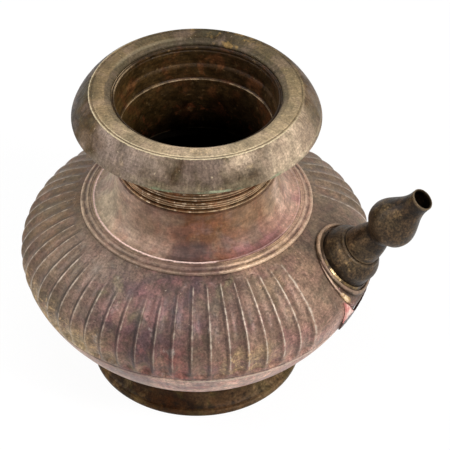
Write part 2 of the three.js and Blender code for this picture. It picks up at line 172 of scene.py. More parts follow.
def rounded(corners, steps=4, spacing=0.0):
    """A closed outline of (r, z, radius) corners, each cut by an arc, with long sides split."""
    corners = np.array(corners, float)
    arcs = []
    for last, (*here, radius), following in zip(np.roll(corners, 1, 0), corners, np.roll(corners, -1, 0)):
        before, after = last[:2] - here, following[:2] - here
        long_before, long_after = np.linalg.norm(before), np.linalg.norm(after)
        reach = min(radius, long_before * 0.45, long_after * 0.45)
        if reach <= 0:
            arcs.append(np.array([here]))
            continue
        start = here + before / long_before * reach
        end = here + after / long_after * reach
        t = np.linspace(0, 1, steps + 1)[:, None]
        arcs.append((1 - t) ** 2 * start + 2 * t * (1 - t) * here + t * t * end)
    out = np.concatenate(arcs)
    if spacing:
        parts = []
        for a, b in zip(out, np.roll(out, -1, axis=0)):
            split = max(1, ceil(np.linalg.norm(b - a) / spacing))
            parts.append(a + (b - a) * (np.arange(split) / split)[:, None])
        out = np.concatenate(parts)
    return out


def edges_of(outline, reach):
    """How sharply a closed outline turns near each point: over 0 on edges, below 0 in grooves."""
    to = np.roll(outline, -1, axis=0) - outline
    length = np.linalg.norm(to, axis=1)
    back = np.roll(to, 1, axis=0)
    turn = np.arctan2(back[:, 0] * to[:, 1] - back[:, 1] * to[:, 0], (back * to).sum(1))
    turn *= np.sign(turn.sum())
    along = np.concatenate(([0], np.cumsum(length)))[:-1]
    apart = np.abs(along[:, None] - along[None, :])
    apart = np.minimum(apart, length.sum() - apart)
    return np.clip((np.exp(-(apart / reach) ** 2) * turn[None, :]).sum(1), -1.5, 1.5)


def wander(angle, seed):
    """A slow hand-made wave round the pot, from 0 to 1."""
    wave = (np.sin(2 * angle + seed) + 0.7 * np.sin(3 * angle + 2.1 * seed)
            + 0.5 * np.sin(5 * angle + 3.7 * seed) + 0.3 * np.sin(9 * angle + 1.3 * seed))
    return np.clip(0.5 + wave / 5, 0, 1)


def about_axis(angle, r, z):
    """Sections at angles round the pot's axis, from arrays of their radii and heights."""
    return np.stack((r * np.cos(angle)[:, None] + POT_X, r * np.sin(angle)[:, None], z), 2)


def turned(name, corners, count=ROUND_STEPS, steps=4, spacing=1.2, wobble=0.0, seed=0.0, reach=0.7):
    """A piece turned about the pot's axis, a little out of true, with its edges and grooves marked."""
    outline = rounded(corners, steps, spacing)
    angle = np.arange(count) / count * TURN
    r = outline[:, 0] - wobble * wander(angle, seed)[:, None]
    piece = swept(name, about_axis(angle, r, each(outline[:, 1], count)))
    mark(piece, "edge", each(edges_of(outline, reach), count))
    return piece


# The body's skin

def crown_r(z):
    share = np.clip((z - EQUATOR_Z) / CROWN_RISE, -1, 1)
    return CROWN_CENTRE_R + (BODY_R - CROWN_CENTRE_R) * np.sqrt(1 - share ** 2)


def bowl_r(z):
    share = np.clip((EQUATOR_Z - z) / BOWL_DEPTH, 0, 1)
    return BODY_R * (1 - share ** BOWL_FULLNESS) ** (1 / BOWL_FULLNESS)


def skin_profile(bottom, crown_steps, belly_steps, top_r):
    end = acos((top_r - CROWN_CENTRE_R) / (BODY_R - CROWN_CENTRE_R))
    t = np.linspace(0, end, crown_steps + 1)
    crown = np.stack((CROWN_CENTRE_R + (BODY_R - CROWN_CENTRE_R) * np.cos(t),
                      EQUATOR_Z + CROWN_RISE * np.sin(t)), 1)
    u = np.linspace(0, 1, belly_steps + 1)[:-1]
    z = bottom + (EQUATOR_Z - bottom) * (1 - (1 - u) ** 1.3)
    return np.concatenate((np.stack((bowl_r(z), z), 1), crown))


SKIN_LINE = skin_profile(20, 90, 40, 40)


def above_skin(place):
    """Distance of places outside the skin's outline, less than zero inside it."""
    here = np.stack((np.hypot(place[..., 0] - POT_X, place[..., 1]), place[..., 2]), -1)[..., None, :]
    start, along = SKIN_LINE[:-1], SKIN_LINE[1:] - SKIN_LINE[:-1]
    to = here - start
    t = np.clip((to * along).sum(-1) / (along ** 2).sum(-1), 0, 1)
    off = to - along * t[..., None]
    away = np.linalg.norm(off, axis=-1)
    best = away.argmin(-1)[..., None]
    side = np.sign(to[..., 0] * along[:, 1] - to[..., 1] * along[:, 0])
    return np.take_along_axis(away * side, best, -1)[..., 0]


# Spout frame: s runs along the axis from the root, r and the angle round it, with angle 0 facing down
SPOUT_TILT = radians(53.8)
ROOT_Z = EQUATOR_Z + 17.2
AXIS = np.array((cos(SPOUT_TILT), 0, sin(SPOUT_TILT)))
DOWN = np.array((sin(SPOUT_TILT), 0, -cos(SPOUT_TILT)))
SIDE = np.array((0.0, 1.0, 0.0))
ROOT = np.array((float(crown_r(ROOT_Z)) + POT_X, 0, ROOT_Z))


def spout_point(s, r, angle):
    s, r, angle = np.broadcast_arrays(np.asarray(s, float), r, angle)
    return (ROOT + s[..., None] * AXIS + (r * np.cos(angle))[..., None] * DOWN
            + (r * np.sin(angle))[..., None] * SIDE)


def on_skin(r, angle, height):
    r, angle, height = np.broadcast_arrays(np.asarray(r, float), angle, height)
    low = np.full(r.shape, -BODY_R / 2)
    high = np.full(r.shape, BODY_R / 2)
    for _ in range(24):
        middle = (low + high) / 2
        inside = above_skin(spout_point(middle, r, angle)) < height
        low = np.where(inside, middle, low)
        high = np.where(inside, high, middle)
    return spout_point(low, r, angle)


# Body pieces
FLUTE_TOP_FADE = 0.8
FLUTE_FRONT_FADE = 9.5
FLUTE_FRONT = radians(238) + SPOUT_FROM_RIGHT
FLUTE_END_Z = SEAM_Z + 1.8
FLUTE_END_ROUND = 4.6
FLUTE_END_SLOPE = 2.2

# The body's lining, from the shoulder's seat to the seam
LINING_R = (50.0, 50.0, 66.5, 76.0, 84.0, 84.0, 80.0)
LINING_Z = (SEAT_Z, SEAT_Z - 3.0, 90.0, 83.0, 72.0, 66.0, SEAM_Z)


def flute_form(angle):
    """For each angle: the flute's depth share, its ridge, its mask of painted shade on the lee flank, the place
    across it and its number.
    """
    turn = (angle + pi) % TURN - pi
    number = np.round(turn / PITCH)
    across = np.abs(turn / PITCH - number) * 2
    ridge = FLUTE_RIDGE / (BODY_R * PITCH)
    x = 1 - (across / (1 - ridge)) ** 2
    share = (x + np.sqrt(x * x + 0.01)) / 2
    flat = np.abs(turn) <= FIELD
    crest = np.exp(-((1 - across) / (0.6 * ridge)) ** 2)
    lee = (turn / PITCH - number) * 2
    painted_flank_shade = np.exp(-((lee - 1 + 1.6 * ridge) / (1.3 * ridge)) ** 2)
    plain = np.abs(turn) < FIELD - 0.001
    return np.where(flat, 0, share), np.where(plain, 0, crest), np.where(plain, 0, painted_flank_shade), across, number


def off_front(angle):
    """The angle from the side where the flutes fade most below the band."""
    return (angle - FLUTE_FRONT + pi) % TURN - pi


def flutes_present(angle, z, across, number):
    """Where the flutes are, from 0 to 1: each fades below the band and ends in a round over the seam."""
    fade = FLUTE_TOP_FADE + FLUTE_FRONT_FADE * np.exp(-(off_front(angle) / 0.42) ** 4) + 0.4 * np.sin(number * 2.3)
    top = smooth((SEAT_Z - 1 - z) / fade[:, None])
    rise = FLUTE_END_ROUND * (1 - np.sqrt(np.clip(1 - across ** 2, 0, 1)))
    low = FLUTE_END_Z + 0.5 * np.sin(number * 1.9) + rise
    return top * smooth((z - low[:, None]) / FLUTE_END_SLOPE)


def upper_body():
    free = FLUTE_COUNT - FLUTES_LEFT_OUT
    fluted = FIELD + np.arange(free * 14) / (free * 14) * free * PITCH
    field = TURN - FIELD + np.arange(54) / 54 * 2 * FIELD
    angle = np.concatenate((fluted, field))
    count = len(angle)
    line_r, line_z = skin_profile(SEAM_Z, 78, 30, BAND_R).T
    share, crest, painted_flank_shade, across, number = flute_form(angle)
    present = flutes_present(angle, line_z, across, number)
    vary = 1 + 0.16 * np.sin(number * 2.7 + 1) + 0.1 * np.sin(number * 1.31)
    depth = (FLUTE_DEPTH * vary * share)[:, None] * present
    seam_line = 0.35 * np.exp(-((line_z - SEAM_Z - 1.1) / 0.28) ** 2)
    uneven = 0.12 * wander(angle, 3.0)[:, None] * smooth((line_z - SEAM_Z) / 6)
    r = np.concatenate((line_r - depth - uneven - seam_line, each(LINING_R, count)), 1)
    z = np.concatenate((each(line_z, count), each(LINING_Z, count)), 1)
    piece = swept("upper_body_fluted", about_axis(angle, r, z), 50)
    # Bright crest lines on the flute ridges: wear and painted highlight.
    shown = 0.76 * smooth((line_z - 57) / 9) * smooth((SEAT_Z - line_z) / 3)
    # Painted shade on each flute's lee flank, strongest at the front.
    lee = painted_flank_shade * (0.35 + 0.65 * np.exp(-(off_front(angle) / 1.25) ** 2))
    blank = np.zeros((count, len(LINING_R)))
    for name, outside, inside in (("edge", crest[:, None] * present * shown - 3 * seam_line, blank),
                                  ("inside", 0 * present, blank + 1), ("painted_flank_shade", lee[:, None] * present, blank)):
        mark(piece, name, np.concatenate((outside, inside), 1))
    return piece


def lower_bowl():
    top = SEAM_Z - GAP
    outer = [(float(bowl_r(a)), float(a), 0) for a in np.linspace(14, top - 0.6, 40)]
    corners = [(0.5, 10, 0), (36, 10, 2)] + outer + [(float(bowl_r(top)) - 0.4, top, 0.2)]
    corners += [(80.5, top, 0), (80.5, SEAM_Z + 3.2, 0), (79, SEAM_Z + 3.2, 0), (79, top - 3, 0)]
    corners += [(float(bowl_r(a)) - 2.6, float(a), 0) for a in np.linspace(48, 16, 10)]
    corners += [(36, 12.2, 2), (0.5, 12.2, 0)]
    piece = turned("lower_bowl_skin", corners, spacing=3, wobble=0.1, seed=1.0)
    # The bowl's inner faces, which the body's finish darkens as painted shade.
    place = np.array([v.co for v in piece.data.vertices]) / MM
    inner = (np.hypot(place[:, 0] - POT_X, place[:, 1]) < bowl_r(place[:, 2]) - 1.3) & (place[:, 2] > 11)
    mark(piece, "inside", inner)
    return piece


def shoulder():
    top_r = 39.5
    bottom, top = BAND_LOW_Z + 2.3, SHOULDER_TOP_Z
    reach = SHOULDER_R - top_r
    curve = [(SHOULDER_R - reach * sin(a), bottom + (top - bottom) * (1 - cos(a)), 0)
             for a in np.linspace(0.14, pi / 2, 40)]
    lip = [(SHOULDER_R, BAND_LOW_Z, 0), (SHOULDER_R, bottom + 0.2, 0.2), (SHOULDER_R - 0.9, bottom + 0.22, 0.3)]
    inner = [(37.8, top, 0), (37.8, top - 6.3, 0), (41, bottom + 5, 2), (49.3, bottom - 1.5, 2)]
    return turned("shoulder_dome", [(49.3, BAND_LOW_Z, 0)] + lip + curve + inner, wobble=0.1, seed=2.0)


def band():
    z = BAND_LOW_Z
    inner = SHOULDER_R + 0.15
    return turned("shoulder_band_ring", [
        (inner, z, 0), (BAND_R, z, 0), (BAND_R, z + 0.8, 0.35), (BAND_R - 0.5, z + 1.3, 0.35),
        (BAND_R - 1.4, z + 1.4, 0.3), (BAND_R - 1.8, z + 1.2, 0.3), (54.7, z + 1.5, 0.3), (54.2, z + 2.1, 0.3),
        (53.4, z + 2.3, 0.3), (53.1, z + 2.1, 0.2), (52.7, z + 2.35, 0.2), (52.2, z + 2.2, 0.2),
        (inner, z + 2.25, 0.1)], steps=3, spacing=0.6, wobble=0.05, reach=0.4)


def neck():
    z = NECK_TOP_Z
    neck_r, head_r = 37.5, 41.0
    low = SHOULDER_TOP_Z
    ridges = [(2.3, 0.0), (2.8, 0.5), (3.4, 0.0), (3.9, 0.45), (4.5, -0.1), (7.0, -0.1), (7.6, 0.45), (8.3, 0.05),
              (9.3, 0.8), (10.2, 0.1), (10.8, 0.35), (11.4, -0.1), (13.0, 0.0)]
    outer = [(neck_r + out, low + up, 0.2) for up, out in ridges]
    inner = [(40.6, 0.0, 0.1), (40.2, 0.35, 0.1), (39.8, 0.0, 0.1), (39.3, 0.0, 0.3), (39.1, 1.0, 0.2),
             (39.35, 1.5, 0.2), (38.95, 2.2, 0.2), (38.85, 9.0, 0.4), (38.3, 10.0, 0.5), (37.9, 11.0, 0.5),
             (37.5, 16.8, 0.3), (36.7, 17.5, 0.25), (36.6, 18.4, 0.3), (35.6, 26.0, 3)]
    corners = [(35.6, NECK_LOW_Z, 0), (neck_r, NECK_LOW_Z, 0)] + outer
    corners += [(neck_r, low + 14, 2), (head_r, low + 23, 3), (head_r, z, 0.2)]
    corners += [(r, z - down, radius) for r, down, radius in inner]
    return turned("neck_tube", corners, steps=3, wobble=0.05, reach=0.5)


def wire_ring(name, node):
    wall, proud = 37.8, 1.0
    middle, height = (low_z(node) + high_z(node)) / 2, high_z(node) - low_z(node)
    t = np.linspace(0, pi, 12)
    corners = [(wall + proud * sin(a), middle - height / 2 * cos(a), 0) for a in t]
    piece = turned(name, corners, spacing=0, wobble=0.05, seed=middle)
    # A thin pale line just above the wire's crest: wear and painted highlight.
    mark(piece, "edge", each(0.9 * np.exp(-((t - 2.0) / 0.35) ** 2), ROUND_STEPS))
    return piece


def rim():
    top = MOUTH_Z
    edge_z = top - COLLAR_DROP
    low_z = edge_z - COLLAR_EDGE
    power = 2 / COLLAR_FULLNESS
    out, fall = COLLAR_R - COLLAR_CROWN_R, COLLAR_DROP - 0.35
    flange = [(COLLAR_CROWN_R + out * sin(a) ** power, edge_z + fall * max(0.0, cos(a)) ** power, 0)
              for a in np.linspace(pi / 2, 0, 34)]
    hub = [(41.0, NECK_TOP_Z + GAP, 0), (41.3, NECK_TOP_Z + GAP, 0), (41.3, HUB_LOW_Z, 0), (43.9, HUB_LOW_Z, 0),
           (43.9, NECK_TOP_Z, 1)]
    lining = [(49.5, NECK_TOP_Z + 0.1, 1), (52.3, 160.0, 1), (55.0, 156.0, 1), (56.6, edge_z + 0.5, 0.5),
              (57.6, low_z, 0.2), (COLLAR_R - 0.7, low_z, 0.25)]
    crown = [(51.5, -0.1, 0.15), (51.0, 0.0, 0.15), (50.6, -0.3, 0.2), (49.9, -0.3, 0.2), (49.6, -0.02, 0.15),
             (48.5, 0.0, 0.5)]
    roll = MOUTH_Z - NECK_TOP_Z - GAP - 0.5
    crown += [(47.5 - r, -0.4 * (r / 4) ** 2, 0) for r in np.linspace(0, 3.4, 8)]
    crown += [(44.1 - 3.1 * sin(a), -0.3 - roll * (1 - cos(a)), 0)
              for a in np.linspace(0.1, pi / 2, 14)]
    corners = hub + lining + flange + [(r, top + up, radius) for r, up, radius in crown]
    return turned("rim_collar_skin", corners, count=240, steps=3, spacing=1.0, wobble=0.1, seed=0.5, reach=0.5)


def foot():
    outer = [(FOOT_R - 0.5 - 5.1 * sin(a), 3.0 + (FOOT_TOP_Z - 3.0) * (1 - cos(a)), 0)
             for a in np.linspace(0, pi / 2, 24)[1:]]
    inner = [(46.4, FOOT_TOP_Z - 1.2, 0), (46.4, 7, 2), (52.0, 2.6, 1)]
    corners = [(52.0, 0, 0.3), (FOOT_R, 0, 0.5), (FOOT_R, 2.0, 0.5), (FOOT_R - 0.7, 2.7, 0.3)] + outer + inner
    return turned("foot_ring_skin", corners, wobble=0.25, seed=4.0)


# Spout pieces

def around_spout(name, section, count=SPOUT_STEPS):
    angle = np.arange(count) / count * TURN
    return swept(name, section(angle[:, None]))


def spout_lathe(name, corners, seed):
    """A piece turned about the spout's axis, uneven outside its bore, with its edges and grooves marked."""
    outline = rounded(corners, spacing=0.8)
    waver = np.where(outline[:, 1] < 5.2, 0, 0.12)

    def section(angle):
        return spout_point(outline[:, 0], outline[:, 1] - waver * wander(angle, seed), angle)
    piece = around_spout(name, section)
    mark(piece, "edge", each(edges_of(outline, 0.7), SPOUT_STEPS))
    return piece


PLATE_TOP = GAP + 1.0
ON_PLATE = PLATE_TOP + GAP


def plate_edge(angle):
    """The plate's radius from the spout's axis: a circle set 3 mm low, cut flatter at its lower end."""
    return (3 * np.cos(angle) + np.sqrt(20.3 ** 2 - (3 * np.sin(angle)) ** 2)
            - 3.4 * np.clip(np.cos(angle), 0, 1) ** 8)


def spout_plate():
    offsets = np.array([[-2.2, -1.7, -1.2, -0.7, -0.3, 0.0]])
    heights = np.array([[0.25, 0.1, 0.02, 0.0, 0.15, 0.45]])
    hole, lip = 7, 2.8

    def section(angle):
        edge = plate_edge(angle)
        over = on_skin(hole + (edge - lip - hole) * np.linspace(0, 1, 12), angle, PLATE_TOP - 0.25)
        bead = on_skin(edge + offsets, angle, PLATE_TOP - heights)
        under = on_skin(np.concatenate((edge, edge * 0 + hole), 1), angle, GAP)
        return np.concatenate((over, bead, under), 1)
    piece = around_spout("spout_plate_skin", section, PLATE_STEPS)
    # Edge wear along the bead, strongest towards the front and at the top: wear and painted glints.
    wear_and_sheen = np.array((0,) * 11 + (-0.3, 0, 0, 0.1, 0.6, 1, 0.1, 0, 0))
    turn = np.arange(PLATE_STEPS) / PLATE_STEPS * TURN
    share = (0.15 + np.exp(-((turn - radians(272)) / 0.75) ** 4)
             + 0.8 * np.exp(-((turn - radians(170)) / 0.6) ** 2))
    mark(piece, "edge", wear_and_sheen * share[:, None])
    return piece


def spout_bead():
    inner, wire = 16.6, 1.9
    t = np.linspace(0, pi, 11)[None, :]
    piece = around_spout("spout_bead_ring", lambda angle: on_skin(
        inner + wire / 2 * (1 - np.cos(t)), angle, ON_PLATE + wire / 2 * np.sin(t)), PLATE_STEPS)
    mark(piece, "edge", each(np.sin(t), PLATE_STEPS))
    return piece


def spout_braze():
    rows = np.array([[15.4, 16.3, 16.3, 16.0, 15.7, 15.4]])
    rise = np.array([[0, 0, 0.3, 0.42, 0.6, 0.88]])
    return around_spout("spout_braze_fillet", lambda angle: on_skin(
        rows, angle, ON_PLATE + rise * (0.75 + 0.25 * wander(angle * 5, 1.0))), PLATE_STEPS)


def spout_bell():
    wide, narrow, inner = 15.1, 11.6, 12.9
    low, high = 4.165, 10.6
    t = np.linspace(0, 1, 16)
    wall = wide + (narrow - wide) * t * t

    def section(angle):
        foot = on_skin(wide, angle, ON_PLATE)
        side = spout_point(low + (high - low) * t, wall - 0.1 * wander(angle, 6.0), angle)
        top = spout_point(np.array([[11.1, 11.5, 11.75, 11.9, 11.9, 9.7, low]]),
                          np.array([[11.4, 11.2, 10.8, 10.2, 6.1, 6.1, inner]]), angle)
        inside = on_skin(inner, angle, ON_PLATE)
        return np.concatenate((foot, side, top, inside), 1)
    piece = around_spout("spout_bell_skin", section, PLATE_STEPS)
    mark(piece, "edge", each((-0.6, -0.3) + (0,) * 15 + (0.2, 0.4, 0.3, -0.5, -0.8, 0, 0, 0), PLATE_STEPS))
    return piece


def spout_stem():
    start, waist, length = 12.2, 13.3, 18.8
    t = np.linspace(0, 1, 16)
    taper = [(start + waist * a, 9.8 - 2.8 * a ** 1.8, 0) for a in t]
    flare = [(start + waist + (length - waist) * a, 7.0 + 2.4 * a * a, 0) for a in t[1:]]
    corners = [(9.7, 4.4, 0), (9.7, 5.8, 0), (start, 5.8, 0)] + taper + flare
    corners += [(start + length, 5.8, 0), (start + length + 4, 5.8, 0), (start + length + 4, 4.4, 0)]
    return spout_lathe("spout_stem_skin", corners, seed=7.0)


def spout_nozzle():
    start, rise, length = 31.3, 5.6, 28.6
    under = [(start + rise * (1 - cos(a)), 10.0 + 2.3 * sin(a), 0) for a in np.linspace(0, pi / 2, 18)]
    over = [(start + rise + (length - rise) * a,
             5.7 + 6.6 * (1 + cos(pi * min(1, a * 1.12) ** 0.85)) * 0.5, 0)
            for a in np.linspace(0, 1, 34)[1:-1]]
    end = start + length
    corners = under + over + [(end, 5.7, 0.5), (end, 4.7, 0.4)]
    corners += [(start + 4.6, 4.7, 0), (start + 4.3, 6.1, 0), (start, 6.1, 0)]
    return spout_lathe("spout_nozzle_skin", corners, seed=9.0)


def patch():
    """The copper sheet that follows the plate's lower edge, with a ragged upper edge that stands off a little."""
    low, half, rows = SEAM_Z + 1.6, 19.85, 22
    y = np.linspace(-half, half, 61)
    angle = np.linspace(-1.4, 1.4, 241)
    edge = on_skin(plate_edge(angle) + 2.3 * GAP, angle, GAP)
    near = np.interp(y, edge[:, 1], edge[:, 2])
    ragged = np.minimum(0.5 * np.sin(y * 1.7) + 0.35 * np.sin(y * 4.1 + 1), 0)
    top = np.minimum(ROOT_Z - 11.1, near - 0.1) + ragged
    t = np.linspace(0, 1, rows)
    z = low + (top[:, None] - low) * t[None, :]
    skin = np.where(z < EQUATOR_Z, bowl_r(z), crown_r(z))
    dents = 0.12 * np.sin(y[:, None] * 1.3 + z * 0.9) * np.sin(z * 1.7 - y[:, None] * 0.4)

    def layer(height):
        out = skin + height
        return np.stack((np.sqrt(out ** 2 - y[:, None] ** 2) + POT_X, np.repeat(y[:, None], rows, 1), z), 2)
    over = layer(GAP + 0.95 + 0.2 * t[None, :] ** 3 + dents)
    under = layer(GAP)
    columns = np.concatenate((over, under[:, ::-1]), 1)
    count, size, _ = columns.shape
    faces = [f for f in ring_faces(count, size) if max(f) - min(f) < 2 * size]
    faces += [list(range(size))[::-1], list(range((count - 1) * size, count * size))]
    piece = new_object("copper_patch_sheet", columns.reshape(-1, 3) * MM, faces)
    side = np.clip(1 - (half - np.abs(y[:, None])) / 3.5, 0, 1)
    over_worn = np.maximum(t[None, :] ** 10, side)
    mark(piece, "edge", np.concatenate((over_worn, over_worn[:, ::-1]), 1))
    # Where the copper is bare and pink; the dark tone elsewhere is tarnish with painted shadow along the right edge.
    bare = smooth((-6 - y[:, None]) / 3) * smooth((z - 62.5) / 2.5)
    mark(piece, "bare", np.concatenate((bare, bare[:, ::-1]), 1))
    return piece


# Materials

def srgb(red, green, blue):
    return tuple(((v / 255 + 0.055) / 1.055) ** 2.4 if v > 10 else v / 255 / 12.92 for v in (red, green, blue)) + (1,)


def way_round(angle, lift=0.0):
    """A direction: the angle runs round the pot from the picture's right, by way of the back."""
    turn, lift = radians(angle) + SPOUT_FROM_RIGHT, radians(lift)
    return Vector((cos(lift) * cos(turn), cos(lift) * sin(turn), sin(lift)))


class Nodes:
    """A small builder for nodes in one tree."""

    def __init__(self, tree):
        self.tree = tree

    def put(self, target, value):
        if isinstance(value, bpy.types.NodeSocket):
            self.tree.links.new(value, target)
        else:
            target.default_value = value

    def node(self, kind, inputs=(), **settings):
        """The outputs of a new node, with a socket or a plain value put into each input that is named."""
        made = self.tree.nodes.new("ShaderNode" + kind)
        for key, value in settings.items():
            setattr(made, key, value)
        for key, value in dict(inputs).items():
            self.put(made.inputs[key], value)
        return made.outputs

    def math(self, operation, a, b=0.0):
        return self.node("Math", {0: a, 1: b}, operation=operation)[0]

    def most(self, a, b):
        return self.math("MAXIMUM", a, b)


class Look(Nodes):
    """One procedural finish. Its lengths are in millimetres and its angles in degrees."""

    def __init__(self, name):
        self.material = bpy.data.materials.new(name)
        self.material.use_nodes = True
        super().__init__(self.material.node_tree)
        self.shader = self.tree.nodes["Principled BSDF"]
        self.place = self.node("TexCoord")["Object"]
        self.normal = self.node("NewGeometry")["Normal"]

    def vector(self, operation, a, b=(0, 0, 0)):
        made = self.node("VectorMath", {0: a, 1: b}, operation=operation)
        return made["Value" if operation in ("LENGTH", "DOT_PRODUCT") else "Vector"]

    def noise(self, scale, detail=4.0, rough=0.55, warp=0.0, at=None, offset=0.0):
        inputs = {"Vector": at or self.place, "W": offset, "Scale": scale, "Detail": detail, "Roughness": rough,
                  "Distortion": warp}
        return self.node("TexNoise", inputs, noise_dimensions="4D")["Fac"]

    def remap(self, value, low, high, to_low=0.0, to_high=1.0):
        inputs = {"Value": value, "From Min": low, "From Max": high, "To Min": to_low, "To Max": to_high}
        return self.node("MapRange", inputs, interpolation_type="SMOOTHSTEP")["Result"]

    def spread(self, noise, low, high):
        """A noise's usual span laid out from one value to another."""
        return self.remap(noise, 0.3, 0.7, low, high)

    def shift(self, reach, scale, detail=5.0, offset=0.0):
        """A ragged offset, up to a reach each way."""
        return self.spread(self.noise(scale, detail, offset=offset), -reach, reach)

    def times(self, *values):
        out = values[0]
        for value in values[1:]:
            out = self.math("MULTIPLY", out, value)
        return out

    def flip(self, value):
        return self.math("SUBTRACT", 1.0, value)

    def attribute(self, name):
        return self.node("Attribute", attribute_name=name)["Fac"]

    def mix(self, share, a, b):
        return self.node("Mix", {"Factor": share, "A": a, "B": b}, data_type="RGBA")["Result"]

    def scaled(self, color, factor):
        return self.node("VectorMath", {0: color, "Scale": factor}, operation="SCALE")["Vector"]

    def varied(self, color, noise, share):
        """A colour made darker and lighter by a noise, up to a share each way."""
        return self.scaled(color, self.spread(noise, 1 - share, 1 + share))

    def from_axis(self):
        return self.vector("MULTIPLY", self.vector("SUBTRACT", self.place, (POT_X * MM, 0, 0)), (1, 1, 0))

    def near(self, centre, reach, ragged=0.4, scale=70.0):
        """1 near a place and 0 beyond its reach on each axis, with a ragged edge."""
        off = self.vector("SUBTRACT", self.place, tuple(c * MM for c in centre))
        far = self.vector("LENGTH", self.vector("DIVIDE", off, tuple(c * MM for c in reach)))
        edge = self.math("ADD", far, self.times(self.noise(scale, 5.0), 2 * ragged))
        return self.remap(edge, 0.4 + ragged, 1.0 + ragged, 1.0, 0.0)

    def facing(self, angle, full, none, ragged=8.0):
        """1 within one angle of a side of the pot and 0 beyond another, with a ragged edge."""
        share = self.vector("DOT_PRODUCT", self.vector("NORMALIZE", self.from_axis()), tuple(way_round(angle)))
        away = self.math("ADD", self.math("ARCCOSINE", share), self.shift(radians(ragged), 60.0))
        return self.remap(away, radians(full), radians(none), 1.0, 0.0)

    def around(self, *tones, ragged=14.0):
        """Tones (angle, red, green, blue) round the pot, blended with a ragged edge."""
        split = self.node("SeparateXYZ", {0: self.from_axis()})
        angle = self.math("SUBTRACT", self.math("ARCTAN2", split["Y"], split["X"]), SPOUT_FROM_RIGHT)
        share = self.math("ADD", self.math("MULTIPLY", angle, 1 / TURN), self.shift(ragged / 360, 45.0, offset=1.0))
        degrees = [tone[0] for tone in tones]
        colors = np.array([srgb(*tone[1:]) for tone in tones])
        first = [float(np.interp(360, degrees + [degrees[0] + 360], list(c) + [c[0]])) for c in colors.T]
        stops = [(0.0, first)] + [(a / 360, list(c)) for a, c in zip(degrees, colors.tolist()) if a > 0]
        made = self.tree.nodes.new("ShaderNodeValToRGB")
        points = made.color_ramp.elements
        for i, (at, color) in enumerate(stops + [(1.0, first)]):
            point = points[i] if i < 2 else points.new(at)
            point.position = at
            point.color = color
        self.put(made.inputs["Fac"], self.math("FRACT", share))
        return made.outputs["Color"]

    def height(self, low, high, ragged=1.0, scale=90.0):
        """0 below one height and 1 above another."""
        place = self.node("SeparateXYZ", {0: self.place})["Z"]
        place = self.math("ADD", place, self.shift(ragged * MM, scale, offset=7.0))
        return self.remap(place, low * MM, high * MM)

    def between(self, low, high):
        """1 between two heights."""
        return self.times(self.height(low - 0.5, low + 0.5, 0.2), self.height(high + 0.5, high - 0.5, 0.2))

    def radius(self, low, high):
        """0 nearer the axis than one radius and 1 beyond another."""
        off = self.math("ADD", self.vector("LENGTH", self.from_axis()), self.shift(0.3 * MM, 200.0, 4.0, 8.0))
        return self.remap(off, low * MM, high * MM)

    def ring(self, radius, width):
        """1 along a circle round the axis."""
        off = self.math("SUBTRACT", self.vector("LENGTH", self.from_axis()), radius * MM)
        away = self.math("ABSOLUTE", self.math("ADD", off, self.shift(0.12 * MM, 500.0, 4.0, 6.0)))
        return self.remap(away, width * 0.25 * MM, width * 0.75 * MM, 1.0, 0.0)

    def along(self, around, run):
        """The place laid out round the pot and along its outline, each by its own factor, for streaks."""
        height = self.node("SeparateXYZ", {0: self.place})["Z"]
        course = self.math("SUBTRACT", height, self.vector("LENGTH", self.from_axis()))
        rise = self.node("CombineXYZ", {"Z": self.times(course, run)})["Vector"]
        way = self.vector("NORMALIZE", self.from_axis())
        return self.vector("ADD", self.scaled(way, BODY_R * MM * around), rise)

    def from_spout(self, low, high):
        """0 nearer the spout's axis than one radius and 1 beyond another."""
        off = self.vector("SUBTRACT", self.place, tuple(ROOT * MM))
        height = self.vector("DOT_PRODUCT", off, tuple(AXIS))
        side = self.vector("SUBTRACT", off, self.scaled(tuple(AXIS), height))
        return self.remap(self.vector("LENGTH", side), low * MM, high * MM)

    def inward(self):
        """1 where the surface faces the pot's axis."""
        share = self.vector("DOT_PRODUCT", self.vector("NORMALIZE", self.from_axis()), self.normal)
        return self.remap(share, -0.1, -0.4, 0.0, 1.0)

    def finish(self, bumps, inputs):
        """The material, with its bumps as (height, depth) and what goes into its shader."""
        normal = {}
        for value, depth in bumps:
            made = self.node("Bump", {"Strength": 1.0, "Distance": depth * MM, "Height": value, **normal})
            normal = {"Normal": made["Normal"]}
        for key, value in {**inputs, **normal}.items():
            self.put(self.shader.inputs[key], value)
        return self.material


def side(angle, full, none, ragged=8.0):
    """A mask of one side of the pot, for a blotch or a line."""
    return lambda look: look.facing(angle, full, none, ragged)


def level(low, high, ragged=1.0):
    """A mask of what is over a height, or under it when low is over high."""
    return lambda look: look.height(low, high, ragged)


